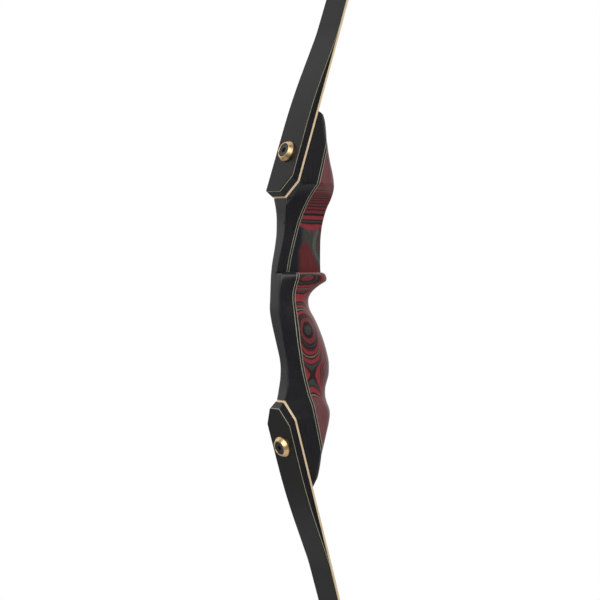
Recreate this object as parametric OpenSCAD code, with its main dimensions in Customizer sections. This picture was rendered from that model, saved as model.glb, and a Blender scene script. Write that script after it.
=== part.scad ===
// Takedown recurve bow, unstrung: a laminated riser with two bolted limbs.
// +Z runs up the bow, +X points at the target and +Y is the side of the sight window.
// The origin is the throat of the grip, where the hand pushes.

/* [Riser] */
// Height of the riser's middle above the throat
riser_mid = 4.4; // [0:0.1:10]
// Half of the riser's length, from its middle to a tip
riser_half = 225; // [218:0.5:235]
// Half width of the riser at the limb pads
pad_half_w = 21.3; // [20.5:0.1:24]
// Half width of the throat
throat_half_w = 15.2; // [13:0.1:17]
// Half width of the grip beside the palm swell
grip_half_w = 18.9; // [17:0.1:22]
// Half width of the waist under the grip
heel_half_w = 15.7; // [14:0.1:18]
// How far the palm swell stands out sideways
swell_h = 3.1; // [0.5:0.1:5]
// Height of the palm swell
swell_z = -33; // [-40:1:-28]
// Front of the riser ahead of the throat
front_x = 47.3; // [43:0.1:50]
// Front of the riser at its lower waist
waist_x = 31.3; // [29:0.1:33]
// Front of the riser beside the sight window
window_front_x = 33.2; // [31:0.1:35]
// Depth of the grip's lower bulge behind the throat
grip_back = 33.9; // [29:0.1:36]
// Depth of the rear bulges beside the limb pads
brow_back = 31.5; // [27:0.1:33]
// Depth of the notch under the grip
heel_back = 26.8; // [23:0.1:28]
// Depth of the riser's rear edge at the sight window
window_back = 21.9; // [18:0.1:23]

/* [Sight window and shelf] */
// Sideways place of the sight window's face
window_y = -0.4; // [-3:0.1:2]
// Height of the arrow shelf
shelf_z = 37; // [34:0.5:42]
// How far the shelf's nose reaches behind the throat
shelf_nose = 24.2; // [23:0.1:26]
// Radius of the nose's rounded upper corner
nose_r = 6; // [4:0.5:8]
// Direction the rounded corner faces, in degrees from straight back
nose_turn = 38; // [30:1:46]
// Height where the window starts to flare out
flare_z = 85; // [80:1:88]
// Radius of the window's flare
flare_r = 88; // [80:1:100]

/* [Riser laminations] */
// Front accent stripe's place ahead of the throat
stripe_x = 31.4; // [30:0.1:33]
// Height of the stripes' most forward point
stripe_z = 5.3; // [0:0.1:12]
// Radius of the stripes' forward bend
stripe_r = 220; // [210:1:240]
// Distance from that point to where the bend reverses
stripe_turn = 61; // [54:1:66]
// Radius of the slight reversed bend
stripe_end_r = 3500; // [2500:100:5000]
// Thickness of each pale accent stripe
pale_t = 0.8; // [0.6:0.1:1.2]
// Thickness of the dark stripe between them
dark_t = 2.4; // [1.5:0.1:4]

/* [Limb pads and limb fixing] */
// Half of the gap between the two limb butts
butt_half = 120.2; // [116:0.1:124]
// Limb pad ahead of the throat at the butt end
pad_x = 35; // [33:0.1:37]
// Lean of the limb pads towards the archer
limb_lean = 18.1; // [16:0.1:20]
// Gap between a limb butt and the riser's shoulder
shoulder_gap = 0.5; // [0.3:0.1:1.5]
// Angle at which the shoulder falls away ahead of the butt
shoulder_slope = 10; // [4:1:16]
// Distance of the limb bolt from the butt end
bolt_s = 54; // [48:0.1:58]
// Diameter of the bolt's shank
bolt_d = 8; // [6:0.5:9]
// Length of the bolt inside its insert
bolt_grip = 16; // [12:0.5:17]
// Diameter of the bolt's head
bolt_head_d = 16; // [14:0.1:17]
// Thickness of the bolt's head
bolt_head_t = 3; // [2.5:0.1:3.5]
// Width of the hex socket across its flats
hex_af = 6; // [4:0.5:7]
// Depth of the hex socket
hex_depth = 2.2; // [1.5:0.1:2.4]
// Outer diameter of the cup washer
washer_d = 25.4; // [23:0.1:27]
// Diameter of the washer's rim
washer_rim_d = 19.4; // [18.6:0.1:21]
// Height of the cup washer
washer_h = 6.5; // [5:0.1:7.5]
// Height of the washer's straight wall under its bevel
washer_wall = 2; // [0.5:0.1:3]
// Thickness of the washer's floor
washer_floor = 2.8; // [2:0.1:3]
// Outer diameter of the threaded insert
insert_d = 12; // [11:0.1:14]
// Length of the threaded insert
insert_len = 20; // [19:0.5:21]
// Diameter of a locating pin
pin_d = 6; // [4:0.5:7]
// Length of a locating pin inside the riser
pin_in = 10; // [7:0.5:12]
// Length of a locating pin that stands out of the pad
pin_out = 6; // [4:0.5:8]
// Distance of the first pin from the butt end
pin_near = 22; // [18:0.5:28]
// Distance of the second pin from the butt end
pin_far = 86; // [80:0.5:92]
// Running clearance on the radius of the bolt and the pins
fit_gap = 0.06; // [0.03:0.01:0.1]
// Clearance around the shank and the head where they pass freely
free_gap = 0.3; // [0.2:0.1:0.5]

/* [Limb] */
// Length of a limb along its belly
limb_len = 640; // [610:1:680]
// Width of the limb at its butt
butt_w = 42.9; // [41:0.1:44]
// Width where the straight part ends
fade_w = 39.4; // [36:0.1:41]
// Width in the middle of the recurve
recurve_w = 22; // [18:0.1:26]
// Width at the tip
tip_w = 13; // [11:0.1:16]
// Half width of the lower butt's end flat
lower_flat = 7.6; // [5:0.1:12]
// Length of the lower butt's two corner chamfers
lower_chamfer = 22.5; // [16:0.5:26]
// Half width of the upper butt's end flat on the window's side
upper_flat = 4.4; // [3:0.1:10]
// Length of the upper butt's corner chamfer on that side
upper_chamfer = 20.5; // [16:0.5:26]
// Size of the upper butt's far corner chamfer
far_chamfer = 2; // [1:0.5:10]
// Lean of the long chamfers across the limb's thickness
chamfer_lean = 11; // [0:1:16]
// Slope of the lower butt's end face
lower_bevel = 27; // [0:1:35]
// Slope of the upper butt's end face
upper_bevel = 20; // [0:1:35]
// Length of the straight part
straight_len = 250; // [240:1:260]
// Length of the gentle bend
bend_len = 180; // [160:1:190]
// Radius of the gentle bend
bend_r = 570; // [500:5:700]
// Length of the recurve
recurve_len = 170; // [150:1:180]
// Radius of the recurve
recurve_r = 187; // [170:1:230]

/* [Limb laminations] */
// Thickness of the black glass on the back
back_glass_t = 1; // [0.7:0.1:1.3]
// Thickness of the pale veneer under it
veneer_t = 0.8; // [0.5:0.1:1]
// Thickness of the dark wedge at the butt
wedge_t = 8.7; // [7.6:0.1:9.6]
// Length of the wedge at full thickness
wedge_flat = 120; // [112:1:124]
// Length of the wedge in all
wedge_len = 210; // [200:1:214]
// Thickness of the core at the butt
core_t = 2.2; // [2:0.1:2.6]
// Thickness of the core at the tip
core_tip_t = 2; // [1.7:0.1:2.2]
// Thickness of the clear glass on the belly
belly_glass_t = 0.8; // [0.6:0.1:1.1]
// Thickness of the overlay at the tip
overlay_t = 2.5; // [1.5:0.1:4]
// Length of the overlay
overlay_len = 42; // [30:1:60]
// Distance of the string groove from the tip
groove_s = 17; // [13:0.5:24]
// Diameter of the string groove
groove_d = 4; // [3:0.1:5]
// Tilt of the string groove across the limb
groove_tilt = 55; // [45:1:65]

/* [Limb flex] */
// Distance of the first flex line from the butt end
flex_1 = 225; // [220:1:235]
// Distance of the second flex line
flex_2 = 365; // [350:1:380]
// Distance of the third flex line
flex_3 = 500; // [485:1:515]
// Gap across a flex line
flex_gap = 0.3; // [0.2:0.05:0.4]

/* [Hidden] */

black = [0.13, 0.13, 0.14];
red = [0.5, 0.13, 0.15];
tan = [0.87, 0.75, 0.59];
brass = [0.8, 0.62, 0.32];
steel = [0.16, 0.16, 0.17];
eps = 0.01;
round_fn = 96;

// Riser: where things are

riser_top = riser_mid + riser_half;
riser_bottom = riser_mid - riser_half;
pad_top = riser_mid + butt_half;
pad_bottom = riser_mid - butt_half;

// Side view lines of the riser as [height, distance ahead of the throat]
shoulder_h = 1;
front_line = [
  [pad_bottom, pad_x + shoulder_h], [pad_bottom + 11, waist_x + 1.5], [-87, waist_x], [-71, waist_x + 0.6],
  [-50, front_x - 10.2], [-26, front_x - 3.8], [-8, front_x - 0.1], [6, front_x], [28, front_x - 1.4],
  [shelf_z, front_x - 2.9], [48, window_front_x + 9.1], [63, window_front_x + 5.4],
  [80, window_front_x + 1.6], [94, window_front_x], [104, window_front_x + 0.4], [114, window_front_x + 1.8],
  [pad_top, pad_x + shoulder_h]];
rear_line = [
  [riser_bottom, 0.2], [riser_bottom + 2, -3], [riser_bottom + 5, -6.4], [riser_bottom + 11, -11.2],
  [riser_bottom + 22, -14.8], [riser_bottom + 40, -18], [riser_bottom + 61, 7.2 - brow_back],
  [-140, 1.2 - brow_back], [-130, 0.3 - brow_back], [-118, -heel_back - 0.7], [-109, -heel_back],
  [-101, -heel_back - 1.2], [-93, 2.8 - grip_back], [-86, 0.4 - grip_back], [-76, -grip_back],
  [-69, 0.8 - grip_back], [-57, 5 - grip_back], [-45, -23.6], [-33, -17.1], [-20, -9.8], [-9, -2.5],
  [-3, -0.3], [2, 0], [6, -0.4], [12, -3.8], [18, -10.4], [shelf_z - 14, 6.2 - shelf_nose],
  [shelf_z - 10.5, 0.1 - shelf_nose], [shelf_z - 6, -shelf_nose], [shelf_z - 2.5, 0.8 - shelf_nose],
  [shelf_z, -window_back - 1], [46, -window_back - 0.2], [64, 0.1 - window_back], [76, -window_back],
  [90, -window_back - 1.4], [104, -window_back - 3.4], [114, -window_back - 5.1], [125, 1.3 - brow_back],
  [134, 0.1 - brow_back], [144, -brow_back], [155, 2.5 - brow_back], [riser_top - 62, 6.5 - brow_back],
  [riser_top - 49, -21.6], [riser_top - 32, -18.2], [riser_top - 14, -15.4], [riser_top - 5, -11.4],
  [riser_top - 2, -6.5], [riser_top, -0.6]];
// Half widths of the flat front as [height, half width], on the window's side and on the other
low_flat = [[pad_bottom, lower_flat], [pad_bottom + 12, 8.7], [-90, 7.5], [-70, 7.5], [-45, 8.5], [-15, 9.5],
            [5, 8.9]];
near_flat = concat(low_flat, [[30, 9.9], [60, 8.4], [90, 7.2], [104, 5.8], [114, 5.2],
                              [pad_top, upper_flat]]);
far_flat = concat(low_flat, [[28, 10.1], [shelf_z, 11.3], [48, 12.3], [63, 13.3], [80, 15.1], [94, 16.8],
                             [104, 16.8], [114, 17.1], [pad_top, butt_w / 2 - far_chamfer]]);
// Half widths along the riser as [height, half width]
side_line = [
  [riser_bottom, pad_half_w], [pad_bottom - 9, pad_half_w - 0.3], [-110, heel_half_w + 1.9],
  [-97, heel_half_w + 0.6], [-84, heel_half_w], [-70, heel_half_w + 0.4], [-57, grip_half_w - 1.4],
  [-42, grip_half_w - 0.4], [-30, grip_half_w], [-20, grip_half_w - 0.5], [-10, throat_half_w + 2.5],
  [-3, throat_half_w + 1.3], [5, throat_half_w], [14, throat_half_w + 0.2], [22, throat_half_w + 2.5],
  [30, throat_half_w + 5], [42, 20.3], [pad_top - 5, pad_half_w - 0.3], [riser_top, pad_half_w]];
swell_line = [
  [riser_bottom, 0], [pad_bottom - 9, 0.2], [-105, 0.4], [-68, 0.4], [-58, 0.9],
  [swell_z - 15, swell_h * 0.6], [swell_z, swell_h], [swell_z + 16, swell_h * 0.55], [-9, 0.5], [5, 0.2],
  [30, 0.6], [60, 0.3], [riser_top, 0]];
// Depth of the rounded rear of each section
round_line = [
  [riser_bottom, 3], [riser_bottom + 8, 8], [riser_bottom + 60, 11], [pad_bottom - 9, 16], [-100, 22],
  [-60, 30], [-36, 31], [-10, 23], [5, 20], [24, 20], [34, 16], [60, 14], [120, 14], [riser_top - 75, 11],
  [riser_top - 8, 8], [riser_top, 3]];
// How square the rounded rear is
rear_power = 2.2;

function clamp(v, low, high) = min(max(v, low), high);
function mix(a, b, t) = a + (b - a) * t;

// A smooth line through the points, read at one height
function span(line, z, i = 0) = i >= len(line) - 2 || z <= line[i + 1][0] ? i : span(line, z, i + 1);
function slope(line, i) =
  let (a = max(i - 1, 0), b = min(i + 1, len(line) - 1))
  (line[b][1] - line[a][1]) / (line[b][0] - line[a][0]);
function read(line, height) =
  let (z = clamp(height, line[0][0], line[len(line) - 1][0]), i = span(line, z),
       h = line[i + 1][0] - line[i][0], t = (z - line[i][0]) / h)
  (2 * t * t * t - 3 * t * t + 1) * line[i][1] + (t * t * t - 2 * t * t + t) * h * slope(line, i)
  + (3 * t * t - 2 * t * t * t) * line[i + 1][1] + (t * t * t - t * t) * h * slope(line, i + 1);

// The accent stripes bend forward around the grip and back again beside the pads
turn_sin = stripe_turn / stripe_r;
function arc_drop(r, s) = r * (1 - sqrt(1 - s * s));
function stripe_at(z) =
  let (u = abs(z - stripe_z), end_sin = max(turn_sin - (u - stripe_turn) / stripe_end_r, 0))
  u < stripe_turn ? stripe_x - arc_drop(stripe_r, u / stripe_r)
  : stripe_x - arc_drop(stripe_r, turn_sin) - arc_drop(stripe_end_r, turn_sin)
    + arc_drop(stripe_end_r, end_sin);

// Past each butt end the front lies just ahead of the pad, and its corners follow the butt's chamfers
function past_butt(z) = abs(z - riser_mid) - butt_half;
function front_at(z) =
  past_butt(z) <= 0 ? read(front_line, z) : pad_x + shoulder_h - past_butt(z) * tan(limb_lean);
function chamfered(z, low, length) =
  min(low + past_butt(z) * (butt_w / 2 - low) / (length * cos(limb_lean)), pad_half_w);
function near_flat_at(z) =
  past_butt(z) <= 0 ? read(near_flat, z)
  : z < 0 ? chamfered(z, lower_flat, lower_chamfer) : chamfered(z, upper_flat, upper_chamfer);
function far_flat_at(z) =
  past_butt(z) <= 0 ? read(far_flat, z)
  : z < 0 ? chamfered(z, lower_flat, lower_chamfer) : chamfered(z, butt_w / 2 - far_chamfer, far_chamfer);

// One height's sizes: front, flat, stripe, side, swell, rounding, rear, and the flat's other half
function sizes_at(z) = [front_at(z), near_flat_at(z), stripe_at(z), read(side_line, z), read(swell_line, z),
                        read(round_line, z), read(rear_line, z), far_flat_at(z)];

// Half width of the riser at one place of a section
function half_width(s, x, side) =
  let (start = s[6] + s[5], peak = min(start, s[2] - 3), t = clamp((x - peak) / (s[2] - peak), 0, 1),
       flat = side > 0 ? s[1] : s[7],
       w = x > s[2] ? mix(s[3], flat, (x - s[2]) / (s[0] - s[2])) : s[3] + s[4] * (1 - t * t),
       d = clamp((start - x) / s[5], 0, 1))
  w * pow(max(1 - pow(d, rear_power), 0.0004), 1 / rear_power);

// Heights of the sections: closer at the tips, the throat and the shelf
ring_step = 7;
fine_step = 3.5;
tip_steps = [0, 1, 2.5, 5, 8, 12];
lower_chamfer_z = pad_bottom - lower_chamfer * cos(limb_lean);
upper_chamfer_z = pad_top + upper_chamfer * cos(limb_lean);
function rings_between(a, b, step) =
  let (n = max(round((b - a) / step), 1)) [for (i = [1 : n]) mix(a, b, i / n)];
heights = concat(
  [for (t = tip_steps) riser_bottom + t],
  rings_between(riser_bottom + 12, lower_chamfer_z, ring_step),
  rings_between(lower_chamfer_z, pad_bottom, fine_step),
  rings_between(pad_bottom, -10, ring_step),
  rings_between(-10, 44, fine_step),
  rings_between(44, pad_top, ring_step),
  rings_between(pad_top, upper_chamfer_z, fine_step),
  rings_between(upper_chamfer_z, riser_top - 12, ring_step),
  [for (i = [len(tip_steps) - 2 : -1 : 0]) riser_top - tip_steps[i]]);
ring_sizes = [for (z = heights) sizes_at(z)];

// Lamination lines behind the front stripe's middle: pale, dark, pale
line_offsets = [pale_t / 2, -pale_t / 2, -pale_t / 2 - dark_t, -pale_t * 1.5 - dark_t];
function layer_front(s, k) = k == 0 ? s[0] : max(s[2] + line_offsets[k - 1], s[6]);
function layer_rear(s, k) = k == 4 ? s[6] : max(s[2] + line_offsets[k], s[6]);
least_layer = 0.2;

// One layer of the riser, lofted through its sections
module riser_layer(k, side_points) {
  rings = [for (i = [0 : len(heights) - 1])
    if (layer_front(ring_sizes[i], k) - layer_rear(ring_sizes[i], k) > least_layer) i];
  n = side_points;
  function step(t) = k == 4 ? sin(90 * t) : t;
  function place(s, j) = mix(layer_front(s, k), layer_rear(s, k), step(j / (n - 1)));
  points = [for (i = rings) for (j = [0 : 2 * n - 1])
    let (s = ring_sizes[i], m = j < n ? j : 2 * n - 1 - j, x = place(s, m), side = j < n ? 1 : -1)
    [x, side * half_width(s, x, side), heights[i]]];
  last = (len(rings) - 1) * 2 * n;
  walls = [for (r = [0 : len(rings) - 2]) for (j = [0 : 2 * n - 1]) for (half = [0, 1])
    let (a = r * 2 * n + j, b = r * 2 * n + (j + 1) % (2 * n), c = b + 2 * n, d = a + 2 * n)
    half == 0 ? [a, c, b] : [a, d, c]];
  bottom = [for (j = [0 : n - 2]) for (half = [0, 1])
    let (a = j, b = j + 1, c = 2 * n - 2 - j, d = 2 * n - 1 - j) half == 0 ? [a, b, c] : [a, c, d]];
  top = [for (f = bottom) [last + f[0], last + f[2], last + f[1]]];
  polyhedron(points, concat(walls, bottom, top), convexity = 8);
}

// The sight window's opening above the arrow shelf, flared out towards the upper pad
flare_top = sqrt(flare_r * flare_r - pow(flare_r - pad_half_w - 1 + window_y, 2));
flare_steps = 20;
module window_cut() {
  reach = 90;
  flare = [for (i = [0 : flare_steps]) let (h = flare_top * i / flare_steps)
    [window_y + flare_r - sqrt(flare_r * flare_r - h * h), flare_z + h]];
  translate([-reach, 0, 0]) rotate([90, 0, 90]) linear_extrude(height = 2 * reach)
    polygon(concat([[reach, shelf_z], [window_y, shelf_z]], flare, [[reach, flare_z + flare_top]]));
  nose_x = nose_r - shelf_nose;
  intersection() {
    translate([-reach, window_y, shelf_z - nose_r - 1]) cube([2 * reach, reach, nose_r + 3]);
    rotate([90, 0, -nose_turn]) translate([0, 0, -reach]) linear_extrude(height = 2 * reach)
      polygon(concat([for (a = [0 : 10 : 90]) [nose_x - nose_r * sin(a), shelf_z - nose_r * (1 - cos(a))]],
                     [[-2 * reach, shelf_z - nose_r], [-2 * reach, shelf_z + 1], [nose_x, shelf_z + 1]]));
  }
}

// Limb frame: its origin is the pad's edge at the butt end, +X leaves the pad and +Z runs along the limb
module on_limb(side) {
  translate([pad_x, 0, riser_mid + side * butt_half])
    mirror([0, 0, side < 0 ? 1 : 0]) rotate([0, -limb_lean, 0]) children();
}

module pad_cut() {
  depth = 60;
  drop = depth * tan(shoulder_slope);
  for (side = [1, -1]) on_limb(side) rotate([90, 0, 0]) linear_extrude(height = 80, center = true)
    polygon([[0, -shoulder_gap], [depth, -shoulder_gap - drop], [depth, riser_half], [0, riser_half]]);
}

module along_pad(s, from, to, d) {
  translate([from, 0, s]) rotate([0, 90, 0]) cylinder(d = d, h = to - from, $fn = round_fn);
}

module riser_part(k, side_points) {
  difference() {
    riser_layer(k, side_points);
    window_cut();
    pad_cut();
  }
}

module riser_front_block() {
  color(black) difference() {
    riser_part(0, 6);
    for (side = [1, -1]) on_limb(side) {
      along_pad(bolt_s, -insert_len, 1, insert_d);
      for (s = [pin_near, pin_far]) along_pad(s, -pin_in, 1, pin_d);
    }
  }
}
module front_accent_stripe() { color(tan) riser_part(1, 2); }
module middle_accent_stripe() { color(black) riser_part(2, 2); }
module rear_accent_stripe() { color(tan) riser_part(3, 2); }
module riser_grip_block() { color(red) riser_part(4, 10); }

// Limb fixing

glue_gap = 0.05;
limb_t = belly_glass_t + core_t + wedge_t + veneer_t + back_glass_t;
insert_bore_d = bolt_d + 2 * fit_gap;

module limb_insert(side) {
  color(brass) on_limb(side) difference() {
    along_pad(bolt_s, glue_gap - insert_len, 0, insert_d - 2 * glue_gap);
    along_pad(bolt_s, 2 - insert_len, 1, insert_bore_d);
  }
}

module locating_pins(side) {
  color(brass) on_limb(side) for (s = [pin_near, pin_far])
    along_pad(s, glue_gap - pin_in, pin_out, pin_d - 2 * glue_gap);
}

module bolt_washer(side) {
  recess_d = bolt_head_d + 2 * free_gap;
  bore_d = bolt_d + 2 * free_gap;
  color(brass) on_limb(side) translate([limb_t, 0, bolt_s]) rotate([0, 90, 0])
    rotate_extrude($fn = round_fn) polygon([
      [bore_d / 2, 0], [washer_d / 2, 0], [washer_d / 2, washer_wall], [washer_rim_d / 2, washer_h],
      [recess_d / 2, washer_h], [recess_d / 2, washer_floor], [bore_d / 2, washer_floor]]);
}

module limb_bolt(side) {
  color(steel) on_limb(side) translate([limb_t + washer_floor, 0, bolt_s]) rotate([0, 90, 0]) difference() {
    union() {
      cylinder(d = bolt_head_d, h = bolt_head_t, $fn = round_fn);
      translate([0, 0, -washer_floor - limb_t - bolt_grip])
        cylinder(d = bolt_d, h = washer_floor + limb_t + bolt_grip + eps, $fn = round_fn);
    }
    translate([0, 0, bolt_head_t - hex_depth]) cylinder(d = hex_af / cos(30), h = hex_depth + 1, $fn = 6);
  }
}

// Limb: the belly's line in its own frame, straight, then a gentle bend, then the recurve and a straight tip

bend_angle = bend_len / bend_r * 180 / PI;
bend_end = straight_len + bend_len;
recurve_end = bend_end + recurve_len;

function heading(s) =
  clamp(s - straight_len, 0, bend_len) / bend_r * 180 / PI
  + clamp(s - bend_end, 0, recurve_len) / recurve_r * 180 / PI;
function arc_step(r, a, b) = r * [cos(a) - cos(b), sin(b) - sin(a)];
function belly_point(s) =
  s <= straight_len ? [0, s]
  : s <= bend_end ? [0, straight_len] + arc_step(bend_r, 0, heading(s))
  : s <= recurve_end ? belly_point(bend_end) + arc_step(recurve_r, bend_angle, heading(s))
  : belly_point(recurve_end) + (s - recurve_end) * [sin(heading(s)), cos(heading(s))];
function limb_point(s, n) = belly_point(s) + n * [cos(heading(s)), -sin(heading(s))];

function core_at(s) = mix(core_t, core_tip_t, clamp((s - wedge_len) / (limb_len - wedge_len), 0, 1));
function wedge_at(s) = wedge_t * clamp((wedge_len - s) / (wedge_len - wedge_flat), 0, 1);
// Height of lamination line j above the belly: belly, glass, core, wedge, veneer, back
function line_at(s, j) =
  (j > 0 ? belly_glass_t : 0) + (j > 1 ? core_at(s) : 0) + (j > 2 ? wedge_at(s) : 0)
  + (j > 3 ? veneer_t : 0) + (j > 4 ? back_glass_t : 0) + (j > 5 ? overlay_t : 0);
function limb_t_at(s) = line_at(s, 5);

// Width along the limb as [distance from the butt end, width]
width_line = [
  [0, butt_w], [wedge_flat, mix(butt_w, fade_w, 0.45)], [straight_len, fade_w],
  [straight_len + bend_len * 0.75, mix(fade_w, recurve_w, 0.5)], [bend_end + recurve_len * 0.6, recurve_w],
  [limb_len - 24, tip_w + 1], [limb_len, tip_w - 1]];

limb_step = 5;
function steps(a, b) = let (n = max(ceil((b - a) / limb_step), 1)) [for (i = [0 : n]) mix(a, b, i / n)];
function side_outline(a, b, low, high) = concat(
  [for (s = steps(a, b)) limb_point(s, line_at(s, low))],
  [for (s = steps(-b, -a)) limb_point(-s, line_at(-s, high))]);

// Everything inside the limb's outline as seen from the front
module plan_block(side) {
  far = 400;
  end = limb_point(limb_len, 0)[1] + 20;
  edge = concat([for (s = steps(30, limb_len)) [limb_point(s, limb_t_at(s) / 2)[1], read(width_line, s) / 2]],
                [[end, tip_w / 2 - 1]]);
  corner = [[-10, butt_w / 2]];
  small_corner = [[-10, butt_w / 2 - far_chamfer - 10], [far_chamfer, butt_w / 2]];
  near = concat(corner, edge);
  other = concat(side > 0 ? small_corner : corner, edge);
  outline = concat(near, [for (i = [len(other) - 1 : -1 : 0]) [other[i][0], -other[i][1]]]);
  translate([-100, 0, 0]) rotate([90, 0, 90]) linear_extrude(height = far)
    polygon([for (p = outline) [p[1], p[0]]]);
}

module side_block(a, b, low, high) {
  rotate([90, 0, 0]) linear_extrude(height = 60, center = true) polygon(side_outline(a, b, low, high));
}

// Flex lines are round: the outer part's end turns inside the inner part's hollow
module flex_cylinder(s, gap) {
  p = limb_point(s, limb_t_at(s) / 2);
  translate([p[0], 0, p[1]]) rotate([90, 0, 0])
    cylinder(r = limb_t_at(s) / 2 + flex_gap + gap, h = 80, center = true, $fn = round_fn);
}
module flex_trim(s) {
  p = limb_point(s, limb_t_at(s) / 2);
  difference() {
    translate([p[0], 0, p[1]]) rotate([0, heading(s), 0]) translate([-12, -35, -12]) cube([24, 70, 12]);
    flex_cylinder(s, 0);
  }
}

// String grooves cross both edges of the tip
module groove_cut() {
  p = limb_point(limb_len - groove_s, 0);
  w = read(width_line, limb_len - groove_s) / 2;
  for (y = [w, -w]) translate([p[0], y, p[1]]) rotate([0, heading(limb_len) + groove_tilt, 0])
    cylinder(d = groove_d, h = 50, center = true, $fn = 48);
}

// The butt end's bevel, sloping back from the belly, and its long corner chamfers
module butt_trim(side) {
  bevel = side > 0 ? upper_bevel : lower_bevel;
  flat = side > 0 ? upper_flat : lower_flat;
  turn = atan((butt_w / 2 - flat) / (side > 0 ? upper_chamfer : lower_chamfer));
  translate([0, -40, 0]) rotate([0, -bevel, 0]) translate([-20, 0, -40]) cube([60, 80, 40]);
  for (far = side > 0 ? [0] : [0, 1]) mirror([0, far, 0])
    translate([0, flat, 0]) rotate([-turn, 0, 0]) rotate([0, 0, -chamfer_lean])
      translate([-20, 0, -40]) cube([60, 40, 100]);
}

module limb_layer(side, a, b, low, high) {
  reach = limb_t;
  on_limb(side) difference() {
    intersection() {
      side_block(max(a - (a > 0 ? reach / 2 : 0), 0), b, low, high);
      plan_block(side);
    }
    if (a > 0) flex_trim(a);
    if (b < limb_len) flex_cylinder(b, flex_gap);
    if (b == limb_len) groove_cut();
    if (a == 0) butt_trim(side);
  }
}

module butt_holes(side) {
  on_limb(side) {
    along_pad(bolt_s, -1, limb_t + 1, bolt_d + 4 * free_gap);
    for (s = [pin_near, pin_far]) along_pad(s, -1, pin_out + 0.5, pin_d - 2 * glue_gap + 2 * fit_gap);
  }
}

module butt_layer(side, low, high) {
  difference() {
    limb_layer(side, 0, flex_1, low, high);
    butt_holes(side);
  }
}
module butt_back_glass(side) { color(black) butt_layer(side, 4, 5); }
module butt_veneer(side) { color(tan) butt_layer(side, 3, 4); }
module butt_core(side) { color(tan) butt_layer(side, 1, 2); }
module butt_belly_glass(side) { color(tan) butt_layer(side, 0, 1); }
module butt_wedge(side) {
  color(black) difference() {
    limb_layer(side, 0, wedge_len - 1, 2, 3);
    butt_holes(side);
  }
}

// Past the wedge the veneer lies on the core and counts as part of it
module back_glass(side, a, b) { color(black) limb_layer(side, a, b, 4, 5); }
module core(side, a, b) { color(tan) limb_layer(side, a, b, 1, 4); }
module belly_glass(side, a, b) { color(tan) limb_layer(side, a, b, 0, 1); }
module tip_overlay(side) { color(black) limb_layer(side, limb_len - overlay_len, limb_len, 5, 6); }

riser_front_block();
front_accent_stripe();
middle_accent_stripe();
rear_accent_stripe();
riser_grip_block();

limb_insert(1);  // upper_limb_insert
locating_pins(1);  // upper_locating_pins
bolt_washer(1);  // upper_bolt_washer
limb_bolt(1);  // upper_limb_bolt
limb_insert(-1);  // lower_limb_insert
locating_pins(-1);  // lower_locating_pins
bolt_washer(-1);  // lower_bolt_washer
limb_bolt(-1);  // lower_limb_bolt

butt_back_glass(1);  // upper_butt_back_glass
butt_veneer(1);  // upper_butt_veneer
butt_wedge(1);  // upper_butt_wedge
butt_core(1);  // upper_butt_core
butt_belly_glass(1);  // upper_butt_belly_glass
back_glass(1, flex_1, flex_2);  // upper_inner_back_glass
core(1, flex_1, flex_2);  // upper_inner_core
belly_glass(1, flex_1, flex_2);  // upper_inner_belly_glass
back_glass(1, flex_2, flex_3);  // upper_middle_back_glass
core(1, flex_2, flex_3);  // upper_middle_core
belly_glass(1, flex_2, flex_3);  // upper_middle_belly_glass
back_glass(1, flex_3, limb_len);  // upper_outer_back_glass
core(1, flex_3, limb_len);  // upper_outer_core
belly_glass(1, flex_3, limb_len);  // upper_outer_belly_glass
tip_overlay(1);  // upper_tip_overlay

butt_back_glass(-1);  // lower_butt_back_glass
butt_veneer(-1);  // lower_butt_veneer
butt_wedge(-1);  // lower_butt_wedge
butt_core(-1);  // lower_butt_core
butt_belly_glass(-1);  // lower_butt_belly_glass
back_glass(-1, flex_1, flex_2);  // lower_inner_back_glass
core(-1, flex_1, flex_2);  // lower_inner_core
belly_glass(-1, flex_1, flex_2);  // lower_inner_belly_glass
back_glass(-1, flex_2, flex_3);  // lower_middle_back_glass
core(-1, flex_2, flex_3);  // lower_middle_core
belly_glass(-1, flex_2, flex_3);  // lower_middle_belly_glass
back_glass(-1, flex_3, limb_len);  // lower_outer_back_glass
core(-1, flex_3, limb_len);  // lower_outer_core
belly_glass(-1, flex_3, limb_len);  // lower_outer_belly_glass
tip_overlay(-1);  // lower_tip_overlay
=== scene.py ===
"""Unstrung takedown recurve bow, seen from the side of its sight window."""
from bisect import bisect_left
from math import cos, pi, radians, sin, sqrt, tan

import bmesh
import bpy
import numpy as np
from mathutils import Matrix, Vector


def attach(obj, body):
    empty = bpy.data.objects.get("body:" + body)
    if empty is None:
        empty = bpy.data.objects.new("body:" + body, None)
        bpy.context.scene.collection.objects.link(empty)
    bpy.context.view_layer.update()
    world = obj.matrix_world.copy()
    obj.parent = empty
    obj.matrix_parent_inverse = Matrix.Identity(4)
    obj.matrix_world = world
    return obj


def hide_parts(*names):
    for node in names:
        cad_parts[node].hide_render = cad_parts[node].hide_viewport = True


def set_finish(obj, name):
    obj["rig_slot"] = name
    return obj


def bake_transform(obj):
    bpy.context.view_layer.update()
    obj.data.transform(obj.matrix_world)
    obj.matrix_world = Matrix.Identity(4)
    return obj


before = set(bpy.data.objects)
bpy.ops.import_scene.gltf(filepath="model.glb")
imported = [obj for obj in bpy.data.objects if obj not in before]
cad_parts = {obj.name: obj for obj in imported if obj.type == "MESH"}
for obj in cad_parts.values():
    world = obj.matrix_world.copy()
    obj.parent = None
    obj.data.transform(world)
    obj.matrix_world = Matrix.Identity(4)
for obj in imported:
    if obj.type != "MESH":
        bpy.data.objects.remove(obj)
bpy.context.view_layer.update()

MM = 0.001

# Camera, fitted to the photo: its azimuth runs from +Y towards +X, its shift is in pixels, right and down

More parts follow.
